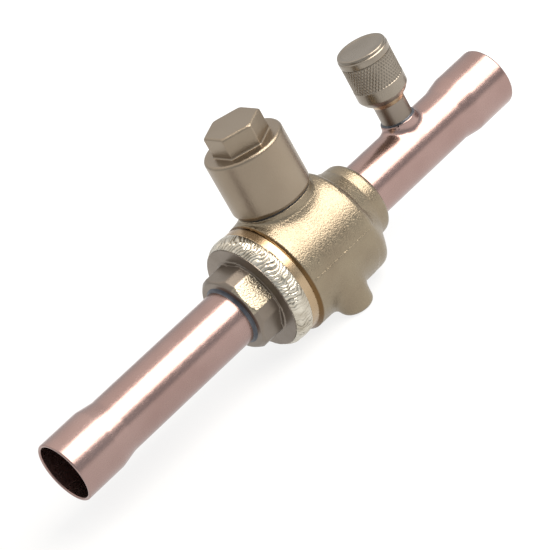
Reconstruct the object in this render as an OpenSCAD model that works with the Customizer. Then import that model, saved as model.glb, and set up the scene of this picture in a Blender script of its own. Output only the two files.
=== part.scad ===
// Refrigerant service valve: a quarter-turn ball valve in a forged housing, with
// copper tube ends swaged into sockets, a screwed seal cap over its stem and a
// gauge port on one tube. X runs along the flow, Z along the stem. The origin is
// midway between the two fixing holes, in the plane of the lugs' feet.

/* [Tubes] */
// Outside diameter of the copper tubes
tube_od = 15.88; // [14:0.02:17]
// Wall of the copper tubes
tube_wall = 1; // [0.8:0.05:1.3]
// Wall of the swaged sockets
socket_wall = 0.87; // [0.6:0.01:1.1]
// Depth of the swaged sockets
socket_depth = 12.5; // [10:0.5:20]
// Length of the taper behind each socket
swage_len = 5; // [3:0.5:8]
// Stem axis to the end of the left tube
left_reach = 88.5; // [70:0.5:120]
// Stem axis to the end of the right tube
right_reach = 75.9; // [70:0.1:120]
// Radial gap that the braze fills round a tube
braze_gap = 0.06; // [0.03:0.01:0.12]

/* [Housing] */
// Wall of the forged barrel round the ball's room
barrel_wall = 5.3; // [5:0.1:7]
// Drop of the forged barrel's centre below the flow axis
barrel_drop = 0.5; // [0:0.1:0.8]
// Step from the barrel down to the machined band beside the weld
band_step = 0.6; // [0.4:0.1:1.2]
// Stem axis to the end of the housing under the weld
housing_left = 16.9; // [16:0.1:19]
// Stem axis to the step between band and barrel
barrel_left = 12.3; // [11:0.1:13.5]
// Stem axis to the right edge of the barrel
barrel_right = 13.6; // [13:0.1:16]
// Rounding of the barrel's right edge
barrel_round = 3.2; // [2:0.1:4]
// Depth of the cups that take the tubes
cup_depth = 8; // [7:0.1:12]
// Diameter of the shoulder at its rim
shoulder_d = 21.6; // [20:0.1:24]
// Rounding of the shoulder's rim
shoulder_round = 1.5; // [1:0.1:2.4]
// Radius of the swell under the barrel's right end
swell_r = 20.3; // [19:0.1:21]

/* [Lugs] */
// Height of the flow axis above the lugs' feet
axis_h = 17.3; // [17.2:0.1:19]
// Spacing of the two fixing holes
hole_spacing = 22; // [20:0.5:23]
// Diameter of the lugs
lug_d = 9.4; // [8:0.1:10]
// Rounding of the lugs' lower rims
lug_round = 1.6; // [0.5:0.1:2]
// Tapping diameter of the fixing holes
hole_d = 4.2; // [3.3:0.1:4.5]
// Depth of the fixing holes
hole_depth = 8; // [5:0.5:8.5]

/* [End connector] */
// Diameter of the disc that is welded to the housing
disc_d = 30.4; // [29:0.1:32]
// Thickness of the disc
disc_thick = 3; // [2.5:0.1:5]
// Width of the collar across its flats
collar_af = 21; // [19.8:0.1:24]
// Length of the collar
collar_len = 6.9; // [5:0.1:10]
// Turn of the collar's flats about the flow axis
collar_turn = 28; // [0:1:59]

/* [Ball and seats] */
// Wall of the ball round its bore
ball_wall = 4.06; // [3.6:0.01:4.3]
// Width of each seat's land on the ball
seat_land = 1.5; // [1.2:0.05:1.7]
// Length of the seats
seat_len = 4.4; // [3.8:0.1:5]
// Width of each seat outside its land
seat_rim = 1.76; // [1.6:0.02:1.9]
// Room round the ball in the housing
cavity_gap = 0.4; // [0.3:0.05:0.6]

/* [Stem] */
// Diameter of the stem
stem_d = 9; // [8.4:0.1:9.4]
// Diameter of the stem's flange
flange_d = 11.8; // [11:0.1:12]
// Thickness of the stem's flange
flange_thick = 2.5; // [2:0.1:3]
// Width of the blade that turns the ball
blade_w = 3.4; // [2.8:0.1:4]
// Width of the stem's square across its flats
square_af = 6; // [5:0.1:6.2]
// Length of the stem's square
square_len = 2.6; // [2:0.1:5]
// Diameter of the stop pin
stop_pin_d = 1.9; // [1.5:0.1:2]

/* [Neck] */
// Width of the neck's shoulder under the seal cap, outside the thread
neck_step = 1.43; // [1.1:0.01:1.7]
// Height of the neck's shoulder above the barrel
neck_rise = 0.7; // [0.6:0.1:3]
// Thread diameter of the neck, over its crests
neck_thread_d = 17.94; // [17.6:0.01:18.4]
// Length of the neck's thread
neck_thread_len = 10; // [8:0.1:12]
// Height of the rim that stops the pin
stop_rim_h = 2.1; // [2:0.1:3]

/* [Seal cap] */
// Wall of the seal cap round its thread
cap_wall = 2; // [1.5:0.1:3]
// Thickness of the cap's roof
cap_roof = 2.4; // [1.8:0.1:4]
// Width of the cap's hexagon across its flats
cap_hex_af = 14; // [11:0.1:17]
// Height of the cap's hexagon
cap_hex_h = 6.1; // [4:0.1:8]

/* [Gauge port] */
// Stem axis to the port axis
port_x = 44.5; // [40:0.5:47]
// Diameter of the port's plain stem
port_stem_d = 8.8; // [7.8:0.1:9.6]
// Thread diameter of the port, over its crests
port_thread_d = 11.06; // [10.8:0.01:11.3]
// Length of the port's thread
port_thread_len = 11; // [9:0.1:14]
// Tube to the start of the port's thread
port_rise = 9.06; // [7:0.01:14]

/* [Knurled cap] */
// Diameter of the knurled cap
knurl_cap_d = 14.2; // [13.8:0.1:16]
// Thickness of the knurled cap's roof
knurl_cap_roof = 1.65; // [1.2:0.05:3]

/* [Hidden] */
$fn = 64;

// Colours as the photograph shows them
forged_brass = "#c9bb92";
turned_brass = "#b3a488";
copper = "#d3a294";
braze_metal = "#5d5d60";
weld_metal = "#cfc9b4";
plated_ball = "#c9cccf";
ptfe = "#eeeae0";
elastomer = "#2e3033";
steel = "#9da0a3";
plated_cap = "#8f877b";

overrun = 1;       // cuts run this far past the faces that they open
run_gap = 0.05;    // radial running clearance of turning and sliding fits
seat_gap = 0.1;    // ball to seats, and ring to groove

// Radii and the stack along the flow
tube_r = tube_od / 2;
bore_r = tube_r - tube_wall;
cup_r = tube_r + braze_gap;
socket_r = tube_r + braze_gap;
socket_or = socket_r + socket_wall;
ball_r = bore_r + ball_wall;
cavity_r = ball_r + cavity_gap;
barrel_r = cavity_r + barrel_wall;
band_r = barrel_r - band_step;
disc_r = disc_d / 2;
land_r = bore_r + seat_land;
seat_or = land_r + seat_rim;
pocket_r = seat_or + run_gap;
seat_front = sqrt(pow(ball_r + seat_gap, 2) - pow(land_r, 2));
seat_back = seat_front + seat_len;
pocket_lead = 0.4;                       // the seats stand this far out of their pockets
pocket_front = seat_front + pocket_lead;
web = 2.9;                               // metal between a seat and the tube's stop
right_stop = seat_back + web;
shoulder_end = right_stop + cup_depth;
spigot_gap = 0.05;
spigot_r = cavity_r - spigot_gap;

// Weld between the housing and the connector's disc
weld_root = 1.2;                         // width of the square faces under the weld
weld_root_r = cavity_r + weld_root;
band_bevel = 2.3;                        // bevel of the housing's end
disc_rim = 0.3;                          // land of the disc beside its bevelled back
disc_bevel = disc_thick - disc_rim;
bead_rise = 0.5;
step_run = 1.2;                          // slope between band and barrel
disc_left = housing_left + disc_thick;
collar_groove = 0.3;
groove_r_share = 0.96;                   // groove against half the collar's width
collar_right = disc_left + collar_groove;
collar_left = collar_right + collar_len;
left_stop = collar_left - cup_depth;
collar_chamfer = 0.8;
corner_cut_share = 0.16;                 // of a full hexagon side, at each corner

// Shoulder of the housing, as a slope with a small step at the barrel
step_in = 0.35;
slope_shares = [0.31, 0.53];             // stations along the shoulder
slope_r_shares = [0.47, 0.2];            // their rise above the rim, of the whole rise
shoulder_r = shoulder_d / 2;
rim_slope = 0.35;
swell_drop = 4;
swell_inset = 0.1;
ridge_w = 0.8;
ridge_h = 0.2;
ridge_end = 1.6;                         // ridge ends this far inside the barrel's ends

// Lugs
lug_r = lug_d / 2;
hole_r = hole_d / 2;
lug_root_share = 0.75;
drill_point_share = 0.6;

// Stack along the stem, above the flow axis
stem_r = stem_d / 2;
stem_bore_r = stem_r + run_gap;
flange_r = flange_d / 2;
flange_gap = 0.3;                        // ball to flange
flange_pocket_gap = 0.2;
flange_bottom = ball_r + flange_gap;
flange_top = flange_bottom + flange_thick;
washer_thick = 0.8;
washer_bottom = flange_top + run_gap;
washer_top = washer_bottom + washer_thick;
blade_play = 0.1;
slot_floor = 1.35;                       // metal between bore and slot
slot_bottom = bore_r + slot_floor;
blade_bottom = slot_bottom + flange_gap;
ring_groove_w = 1.4;
ring_groove_d = 1;
ring_land = 0.9;
packing_thick = 2.2;
gland_wall = 2;
gland_r = stem_bore_r + run_gap + gland_wall;
gland_len = 4;
gland_sink = 0.5;
neck_shoulder = barrel_r - barrel_drop + neck_rise;
neck_thread_r = neck_thread_d / 2;
neck_r = neck_thread_r + neck_step;
neck_top = neck_shoulder + neck_thread_len;
gland_top = neck_top - gland_sink;
packing_top = gland_top - gland_len;
packing_bottom = packing_top - packing_thick;
ring_high = packing_bottom - run_gap - ring_land - ring_groove_w;
ring_low = ring_high - ring_land - ring_groove_w;
gland_slot_w = 1.6;
gland_slot_d = 1.2;
stop_rim_top = neck_top + stop_rim_h;
stop_rim_w = 1.4;
stop_rim_inset = 0.35;
stop_rim_r = neck_thread_r - stop_rim_inset;
stop_pin_r = stop_pin_d / 2;
stop_pin_z = neck_top + stop_rim_h / 2;
stop_play = 0.15;
stop_pin_inset = 0.3;
stem_top = stop_rim_top + square_len;
square_chamfer = 0.5;
mark_w = 0.8;
mark_d = 0.4;
neck_fillet = 3;
thread_lead = 0.6;                       // chamfer at a thread's mouth

// Rolling fillet between neck and barrel, where it is deepest
fillet_sink = 0.2;                       // the fillet's foot lies this far inside the barrel
fillet_y = neck_r + neck_fillet;
fillet_rise = sqrt(pow(barrel_r + neck_fillet, 2) - pow(fillet_y, 2));
fillet_z = fillet_rise - barrel_drop - fillet_sink;
fillet_end = 180 + atan2(fillet_rise, fillet_y);

// Seal cap
gasket_thick = 0.4;
gasket_in = 0.12;
gasket_out = 0.15;
cap_foot = neck_shoulder + gasket_thick;
cap_clear = 0.4;
cap_ceiling = stem_top + cap_clear;
cap_top = cap_ceiling + cap_roof;
cap_bore_r = neck_thread_r + run_gap;
cap_r = cap_bore_r + cap_wall;
cap_foot_in = 0.5;
cap_foot_chamfer = 1;
cap_edge_round = 0.8;
cap_recess_in = 1.2;
cap_recess_lead = 1;                     // cap's thread runs this far past the rim
hex_r = cap_hex_af / sqrt(3);
hex_chamfer = 0.7;
hex_chamfer_in = 0.25;
hex_turn = 30;

// Gauge port
port_stem_r = port_stem_d / 2;
port_thread_r = port_thread_d / 2;
port_reach_share = 0.6;                  // of the tube's wall, inside its bore
port_low = bore_r - port_reach_share * tube_wall;
tee_r = port_stem_r + braze_gap;
tee_wall = 0.6;
tee_rise = 1.6;
tee_fillet = 1.6;
tee_top = tube_r + tee_rise;
port_shoulder = tube_r + port_rise;
port_cone = 1.9;
port_thread_top = port_shoulder + port_thread_len;
flare_in = 1.7;
flare_h = 1.7;
port_top = port_thread_top + flare_h;
core_r = 2.6;
core_gap = 0.05;
port_hole_r = 1.6;
core_len = 6.8;
core_nose_len = 2.6;
core_sink = 1;
core_bottom = port_top - core_sink - core_len;
core_seat = core_bottom - core_nose_len;
core_top = port_top - core_sink;
core_nose_r = 1.9;
core_seal_len = 1.5;
core_room_r = 1.75;
core_floor = 1.2;
core_floor_z = core_bottom + core_floor;
pin_r = 0.7;
pin_head_r = 1.35;
pin_head_h = 0.8;
pin_proud = 0.1;
pin_top = core_top + pin_proud;
pin_plug_r = 1.3;
pin_plug_h = 1;
spring_wire_r = 0.16;
spring_r = 1.3;
spring_turns = 5;
spring_steps = 14;                       // stations in one turn
spring_sides = 6;
spring_low = core_floor_z + spring_wire_r;
spring_high = pin_top - pin_head_h - spring_wire_r;

// Knurled cap
knurl_r = knurl_cap_d / 2;
knurl_lap = 0.1;                         // the cap's foot reaches past the port's shoulder
knurl_foot = port_shoulder - knurl_lap;
knurl_bore_r = port_thread_r + run_gap;
knurl_seal_thick = 0.6;
knurl_seal_inset = 0.6;
knurl_ceiling = port_top + run_gap + knurl_seal_thick;
knurl_top = knurl_ceiling + knurl_cap_roof;
knurl_foot_in = 1.1;
knurl_foot_h = 1.6;
knurl_low_h = 3.2;                         // plain band under the knurl
knurl_groove_h = 0.7;
knurl_groove_d = 0.35;
knurl_band_h = 1.6;                      // plain band over the knurl
knurl_edge = 0.6;
knurl_inset = 0.15;                      // the knurl's roots lie below the bands

function arc_points(cx, cy, r, from, to, n) =
    [for (i = [0:n]) let (a = from + (to - from) * i / n) [cx + r * cos(a), cy + r * sin(a)]];

// Turns a shape drawn about Z to lie about X, with Z going to +X
module along_x() { rotate([90, 0, 90]) children(); }

// Puts a shape drawn about the ball's centre in its place
module at_flow() { translate([0, 0, axis_h]) children(); }

// A ring about Z between two radii and two heights
module ring_z(r_in, r_out, z0, z1) {
    rotate_extrude() polygon([[r_in, z0], [r_out, z0], [r_out, z1], [r_in, z1]]);
}

module neck_outside() {
    rotate_extrude() polygon(concat(
        [[0, 0], [fillet_y + neck_fillet * cos(fillet_end), 0]],
        arc_points(fillet_y, fillet_z, neck_fillet, fillet_end, 180, 6),
        [[neck_r, neck_shoulder], [neck_thread_r, neck_shoulder],
         [neck_thread_r, neck_top - thread_lead], [neck_thread_r - thread_lead, neck_top],
         [0, neck_top]]));
    difference() {
        ring_z(stop_rim_r - stop_rim_w, stop_rim_r, neck_top - overrun, stop_rim_top);
        translate([-stop_pin_r - stop_play, -stop_pin_r - stop_play, neck_top])
            cube([neck_r, neck_r, stop_rim_h + overrun]);
    }
}

// Turned band beside the weld, and the shoulder round the right tube
module housing_turned() {
    rise = barrel_r - barrel_round - shoulder_r - step_in;
    run = shoulder_end - barrel_right;
    along_x() rotate_extrude() polygon(concat(
        [[0, -housing_left], [weld_root_r, -housing_left], [band_r, band_bevel - housing_left],
         [band_r, -barrel_left], [band_r - barrel_drop, step_run - barrel_left],
         [barrel_r - barrel_round - step_in, barrel_right]],
        [for (i = [0:1]) [shoulder_r + rise * slope_r_shares[i], barrel_right + run * slope_shares[i]]],
        arc_points(shoulder_r - shoulder_round, shoulder_end - shoulder_round,
            shoulder_round, rim_slope, 90, 5),
        [[0, shoulder_end]]));
}

// Forged barrel, a little below the flow axis
module barrel() translate([0, 0, -barrel_drop]) along_x() rotate_extrude() polygon(concat(
    [[0, -barrel_left], [band_r - barrel_drop, -barrel_left], [barrel_r, step_run - barrel_left]],
    arc_points(barrel_r - barrel_round, barrel_right - barrel_round, barrel_round, 0, 90, 6),
    [[0, barrel_right]]));

module lug() {
    root = -lug_root_share * sqrt(pow(barrel_r, 2) - pow(hole_spacing / 2 + lug_r, 2));
    rotate_extrude() polygon(concat(
        [[0, root], [0, -axis_h]],
        arc_points(lug_r - lug_round, lug_round - axis_h, lug_round, -90, 0, 5),
        [[lug_r, root]]));
}

module valve_body() color(forged_brass) at_flow() difference() {
    union() {
        housing_turned();
        barrel();
        neck_outside();
        // Swell of the forging under its right end
        intersection() {
            translate([0, 0, -swell_drop]) sphere(swell_r);
            translate([0, 0, -barrel_drop]) along_x() cylinder(h = swell_r, r = barrel_r - swell_inset);
        }
        for (side = [-1, 1]) translate([0, side * hole_spacing / 2, 0]) lug();
        // Parting line of the forging
        intersection() {
            translate([ridge_end - barrel_left, 0, -barrel_drop]) along_x()
                cylinder(h = barrel_left + barrel_right - barrel_round - ridge_end, r = barrel_r + ridge_h);
            translate([-2 * barrel_r, -2 * barrel_r, -ridge_w / 2])
                cube([4 * barrel_r, 4 * barrel_r, ridge_w]);
        }
    }
    // Room for ball and seats, flow way and cup of the right tube
    along_x() rotate_extrude() polygon([[0, -housing_left - overrun],
        [cavity_r, -housing_left - overrun], [cavity_r, pocket_front], [pocket_r, pocket_front],
        [pocket_r, seat_back], [bore_r, seat_back], [bore_r, right_stop], [cup_r, right_stop],
        [cup_r, shoulder_end + overrun], [0, shoulder_end + overrun]]);
    // Room for the stem, its packing and its gland
    rotate_extrude() polygon([[0, 0], [flange_r + flange_pocket_gap, 0],
        [flange_r + flange_pocket_gap, washer_top], [stem_bore_r, washer_top],
        [stem_bore_r, packing_bottom], [gland_r, packing_bottom], [gland_r, neck_top + overrun],
        [0, neck_top + overrun]]);
    for (side = [-1, 1]) translate([0, side * hole_spacing / 2, -axis_h])
        rotate_extrude() polygon([[0, -overrun], [hole_r, -overrun], [hole_r, hole_depth],
            [0, hole_depth + drill_point_share * hole_r]]);
}

// Hexagon with its corners cut back to short facets
module cut_hexagon(af) {
    side = af / sqrt(3);
    half_flat = side * (1 / 2 - corner_cut_share);
    polygon([for (i = [0:5], s = [-1, 1]) [
        af / 2 * cos(60 * i) - s * half_flat * sin(60 * i),
        af / 2 * sin(60 * i) + s * half_flat * cos(60 * i)]]);
}

module end_connector() color(turned_brass) at_flow() difference() {
    union() {
        along_x() rotate_extrude() polygon([[0, -collar_right - collar_len / 2],
            [groove_r_share * collar_af / 2, -collar_right - collar_len / 2],
            [groove_r_share * collar_af / 2, -disc_left], [disc_r, -disc_left],
            [disc_r, -housing_left - disc_bevel], [weld_root_r, -housing_left],
            [spigot_r, -housing_left], [spigot_r, -pocket_front], [0, -pocket_front]]);
        intersection() {
            along_x() translate([0, 0, -collar_left]) rotate(collar_turn)
                linear_extrude(collar_len) cut_hexagon(collar_af);
            along_x() rotate_extrude() polygon([[0, -collar_left],
                [collar_af / 2 - collar_chamfer / 2, -collar_left],
                [collar_af / 2 + collar_chamfer, collar_chamfer - collar_left],
                [collar_af / 2 + collar_chamfer, -collar_right], [0, -collar_right]]);
        }
    }
    along_x() rotate_extrude() polygon([[0, -collar_left - overrun], [cup_r, -collar_left - overrun],
        [cup_r, -left_stop], [bore_r, -left_stop], [bore_r, -seat_back], [pocket_r, -seat_back],
        [pocket_r, overrun - pocket_front], [0, overrun - pocket_front]]);
}

module weld_bead() color(weld_metal) at_flow() {
    // Crown of the bead: an arc through its two toes
    r0 = disc_r; x0 = -housing_left - disc_bevel;
    r1 = band_r; x1 = band_bevel - housing_left;
    chord = norm([r1 - r0, x1 - x0]);
    crown_r = (chord * chord / 4 + bead_rise * bead_rise) / (2 * bead_rise);
    lean = atan2(x1 - x0, r1 - r0);
    half = asin(chord / 2 / crown_r);
    cr = (r0 + r1) / 2 - (crown_r - bead_rise) * sin(lean);
    cx = (x0 + x1) / 2 + (crown_r - bead_rise) * cos(lean);
    along_x() rotate_extrude() polygon(concat([[weld_root_r, -housing_left]],
        arc_points(cr, cx, crown_r, lean - 90 - half, lean - 90 + half, 10)));
}

// Copper tube from a stop in the housing to the mouth of its socket
module tube_outline(stop, reach) {
    along_x() rotate_extrude() polygon([[bore_r, stop], [tube_r, stop],
        [tube_r, reach - socket_depth - swage_len], [socket_or, reach - socket_depth],
        [socket_or, reach], [socket_r, reach], [socket_r, reach - socket_depth],
        [bore_r, reach - socket_depth - swage_len]]);
}

module tube_left() color(copper) at_flow() mirror([1, 0, 0]) tube_outline(left_stop, left_reach);

module tube_right() color(copper) at_flow() difference() {
    union() {
        difference() {
            tube_outline(right_stop, right_reach);
            translate([port_x, 0, 0]) cylinder(h = tube_od, r = tee_r + tee_wall / 2);
        }
        // Collar pulled out of the tube's wall
        translate([port_x, 0, 0]) difference() {
            rotate_extrude() polygon(concat([[0, 0], [tee_r + tee_wall + tee_fillet, 0]],
                arc_points(tee_r + tee_wall + tee_fillet, tube_r + tee_fillet / 2, tee_fillet, 270, 180, 6),
                [[tee_r + tee_wall, tee_top], [0, tee_top]]));
            translate([-tube_od, 0, 0]) along_x() cylinder(h = 2 * tube_od, r = bore_r);
        }
    }
    translate([port_x, 0, 0]) cylinder(h = tee_top + overrun, r = tee_r);
}

// Fillet of braze round a tube or stem, drawn about Z, rising from a face
module braze_fillet(r, leg, h) {
    rotate_extrude() polygon([[r, 0], [r + leg, 0], [r + leg * fillet_leg_share, h * fillet_leg_share],
        [r, h]]);
}
fillet_leg_share = 0.36;
braze_leg = 1.6;
braze_small_leg = 0.9;
port_braze_h = 0.35;

module braze_left() color(braze_metal) at_flow()
    translate([-collar_left, 0, 0]) mirror([1, 0, 0]) along_x() braze_fillet(tube_r, braze_leg, braze_leg);

module braze_right() color(braze_metal) at_flow()
    translate([shoulder_end, 0, 0]) along_x() braze_fillet(tube_r, braze_small_leg, braze_small_leg);

module braze_port() color(braze_metal) at_flow()
    translate([port_x, 0, tee_top]) braze_fillet(port_stem_r, tee_wall, port_braze_h);

module ball() color(plated_ball) at_flow() difference() {
    sphere(ball_r);
    translate([-ball_r - overrun, 0, 0]) along_x() cylinder(h = 2 * (ball_r + overrun), r = bore_r);
    // Slot for the stem's blade, across the flow
    intersection() {
        translate([-blade_w / 2 - blade_play, -ball_r, slot_bottom])
            cube([blade_w + 2 * blade_play, 2 * ball_r, ball_r]);
        cylinder(h = ball_r + overrun, r = stem_r + flange_gap);
    }
}

// Seat drawn on the right of the ball, with a groove for its ring at the back
module seat() {
    difference() {
        along_x() rotate_extrude() polygon([[bore_r, seat_front], [seat_or, seat_front],
            [seat_or, seat_back - seat_groove_w], [seat_or - seat_groove_d, seat_back - seat_groove_w],
            [seat_or - seat_groove_d, seat_back], [bore_r, seat_back]]);
        sphere(ball_r + seat_gap);
    }
}
seat_groove_w = 1.7;
seat_groove_d = 1.6;
seat_ring_r = (seat_groove_d - run_gap) / 2;

module seat_ring() {
    along_x() translate([0, 0, seat_back - seat_groove_w / 2]) rotate_extrude()
        translate([seat_or - seat_groove_d / 2, 0]) circle(seat_ring_r);
}

module seat_left() color(ptfe) at_flow() mirror([1, 0, 0]) seat();
module seat_right() color(ptfe) at_flow() seat();
module seat_oring_left() color(elastomer) at_flow() mirror([1, 0, 0]) seat_ring();
module seat_oring_right() color(elastomer) at_flow() seat_ring();

module stem() color(turned_brass) at_flow() difference() {
    union() {
        rotate_extrude() polygon([[0, flange_bottom], [flange_r, flange_bottom],
            [flange_r, flange_top], [stem_r, flange_top], [stem_r, ring_low],
            [stem_r - ring_groove_d, ring_low], [stem_r - ring_groove_d, ring_low + ring_groove_w],
            [stem_r, ring_low + ring_groove_w], [stem_r, ring_high],
            [stem_r - ring_groove_d, ring_high], [stem_r - ring_groove_d, ring_high + ring_groove_w],
            [stem_r, ring_high + ring_groove_w], [stem_r, stop_rim_top], [0, stop_rim_top]]);
        intersection() {
            translate([-blade_w / 2, -stem_r, blade_bottom])
                cube([blade_w, stem_d, flange_bottom - blade_bottom + flange_thick / 2]);
            cylinder(h = flange_top, r = stem_r);
        }
        intersection() {
            translate([-square_af / 2, -square_af / 2, stop_rim_top - overrun])
                cube([square_af, square_af, square_len + overrun]);
            rotate_extrude() polygon([[0, neck_top], [stem_r, neck_top],
                [stem_r, stem_top - square_chamfer], [stem_r - square_chamfer, stem_top], [0, stem_top]]);
        }
    }
    // Hole for the stop pin, and the mark that shows which way the ball's bore lies
    translate([0, -stem_d, stop_pin_z]) rotate([-90, 0, 0]) cylinder(h = 2 * stem_d, r = stop_pin_r);
    translate([-stem_d, -mark_w / 2, stem_top - mark_d]) cube([2 * stem_d, mark_w, mark_d + overrun]);
}

module stem_ring(z) {
    translate([0, 0, z + ring_groove_w / 2]) rotate_extrude()
        translate([stem_r - ring_groove_d / 2, 0]) circle((ring_groove_d - run_gap) / 2);
}

module stem_oring_lower() color(elastomer) at_flow() stem_ring(ring_low);
module stem_oring_upper() color(elastomer) at_flow() stem_ring(ring_high);

module thrust_washer() color(ptfe) at_flow()
    ring_z(stem_bore_r, flange_r + run_gap, washer_bottom, washer_top);

module packing_ring() color(ptfe) at_flow()
    ring_z(stem_bore_r, gland_r, packing_bottom, packing_top);

module gland_nut() color(turned_brass) at_flow() difference() {
    ring_z(stem_bore_r, gland_r, packing_top, gland_top);
    // Slots for a pin spanner
    translate([-gland_slot_w / 2, -neck_r, gland_top - gland_slot_d])
        cube([gland_slot_w, 2 * neck_r, gland_slot_d + overrun]);
}

module stop_pin() color(steel) at_flow()
    translate([0, -stem_r, stop_pin_z]) rotate([-90, 0, 0])
        cylinder(h = stem_r + stop_rim_r - stop_pin_inset, r = stop_pin_r);

module seal_cap() color(turned_brass) at_flow() difference() {
    union() {
        rotate_extrude() polygon(concat([[0, cap_foot], [cap_r - cap_foot_in, cap_foot],
            [cap_r, cap_foot + cap_foot_chamfer]],
            arc_points(cap_r - cap_edge_round, cap_top - cap_edge_round, cap_edge_round, 0, 90, 4),
            [[0, cap_top]]));
        intersection() {
            translate([0, 0, cap_top - overrun]) rotate(hex_turn)
                cylinder(h = cap_hex_h + overrun, r = hex_r, $fn = 6);
            rotate_extrude() polygon([[0, cap_ceiling], [cap_r, cap_ceiling],
                [cap_r, cap_top + cap_hex_h - hex_chamfer - (cap_r - hex_r) * hex_chamfer],
                [hex_r, cap_top + cap_hex_h - hex_chamfer],
                [cap_hex_af / 2 - hex_chamfer_in, cap_top + cap_hex_h], [0, cap_top + cap_hex_h]]);
        }
    }
    rotate_extrude() polygon([[0, cap_foot - overrun], [cap_bore_r, cap_foot - overrun],
        [cap_bore_r, stop_rim_top + cap_recess_lead], [cap_bore_r - cap_recess_in, cap_ceiling],
        [0, cap_ceiling]]);
}

module seal_cap_gasket() color(elastomer) at_flow()
    ring_z(neck_thread_r + gasket_in, neck_r - gasket_out, neck_shoulder, cap_foot);

module port_fitting() color(turned_brass) at_flow() translate([port_x, 0, 0]) difference() {
    rotate_extrude() polygon([[0, port_low], [port_stem_r, port_low],
        [port_stem_r, port_shoulder - port_cone], [port_thread_r, port_shoulder],
        [port_thread_r, port_thread_top], [port_thread_r - flare_in, port_top], [0, port_top]]);
    rotate_extrude() polygon([[0, port_low - overrun], [port_hole_r, port_low - overrun],
        [port_hole_r, core_seat], [core_nose_r + core_gap, core_seat],
        [core_nose_r + core_gap, core_bottom], [core_r + core_gap, core_bottom],
        [core_r + core_gap, port_top + overrun], [0, port_top + overrun]]);
}

module core_body() color(turned_brass) at_flow() translate([port_x, 0, 0])
    rotate_extrude() polygon([[pin_r + run_gap, core_seat + core_seal_len],
        [core_nose_r, core_seat + core_seal_len], [core_nose_r, core_bottom], [core_r, core_bottom],
        [core_r, core_top], [core_room_r, core_top], [core_room_r, core_floor_z],
        [pin_r + run_gap, core_floor_z]]);

module core_seal() color(elastomer) at_flow() translate([port_x, 0, 0])
    ring_z(pin_plug_r + 2 * run_gap, core_nose_r, core_seat, core_seat + core_seal_len);

module core_pin() color(steel) at_flow() translate([port_x, 0, 0])
    rotate_extrude() polygon([[0, core_seat + core_seal_len - run_gap - pin_plug_h],
        [pin_plug_r, core_seat + core_seal_len - run_gap - pin_plug_h],
        [pin_plug_r, core_seat + core_seal_len - run_gap], [pin_r, core_seat + core_seal_len - run_gap],
        [pin_r, pin_top - pin_head_h], [pin_head_r, pin_top - pin_head_h], [pin_head_r, pin_top],
        [0, pin_top]]);

// Coil of round wire, as rings of points along the helix
module core_spring() color(steel) at_flow() translate([port_x, 0, 0]) {
    n = spring_turns * spring_steps;
    rise = spring_high - spring_low;
    points = [for (i = [0:n], j = [0:spring_sides - 1])
        let (a = 360 * i / spring_steps, b = 360 * j / spring_sides,
             r = spring_r + spring_wire_r * cos(b))
        [r * cos(a), r * sin(a), spring_low + rise * i / n + spring_wire_r * sin(b)]];
    faces = concat(
        [[for (j = [0:spring_sides - 1]) j]],
        [for (i = [0:n - 1], j = [0:spring_sides - 1])
            let (k = (j + 1) % spring_sides)
            [i * spring_sides + j, (i + 1) * spring_sides + j,
             (i + 1) * spring_sides + k, i * spring_sides + k]],
        [[for (j = [spring_sides - 1:-1:0]) n * spring_sides + j]]);
    polyhedron(points = points, faces = faces, convexity = 10);
}

module knurled_cap() color(plated_cap) at_flow() translate([port_x, 0, 0]) {
    z1 = knurl_foot + knurl_foot_h;
    z2 = z1 + knurl_low_h;
    z3 = knurl_top - knurl_edge - knurl_groove_h - knurl_band_h;
    z4 = z3 + knurl_band_h;
    rotate_extrude() polygon([[knurl_bore_r, knurl_foot], [knurl_r - knurl_foot_in, knurl_foot],
        [knurl_r, z1], [knurl_r, z2], [knurl_r - knurl_inset, z2], [knurl_r - knurl_inset, z3],
        [knurl_r, z3], [knurl_r, z4], [knurl_r - knurl_groove_d, z4],
        [knurl_r - knurl_groove_d, z4 + knurl_groove_h],
        [knurl_r - knurl_groove_d / 2, z4 + knurl_groove_h], [knurl_r - knurl_edge, knurl_top], [0, knurl_top], [0, knurl_ceiling],
        [knurl_bore_r, knurl_ceiling]]);
}

module knurled_cap_seal() color(elastomer) at_flow() translate([port_x, 0, 0])
    ring_z(0, knurl_bore_r - knurl_seal_inset, knurl_ceiling - knurl_seal_thick, knurl_ceiling);

valve_body();
end_connector();
weld_bead();
tube_left();
tube_right();
braze_left();
braze_right();
braze_port();
ball();
seat_left();
seat_right();
seat_oring_left();
seat_oring_right();
stem();
stem_oring_lower();
stem_oring_upper();
thrust_washer();
packing_ring();
gland_nut();
stop_pin();
seal_cap();
seal_cap_gasket();
port_fitting();
core_body();
core_seal();
core_pin();
core_spring();
knurled_cap();
knurled_cap_seal();
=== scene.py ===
# Refrigerant service valve: a quarter-turn ball valve with copper tube ends.
# Sizes are in millimetres about the ball's centre; a mesh is put in metres last.
import math
import bmesh
import bpy
import numpy as np
from mathutils import Matrix


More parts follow.
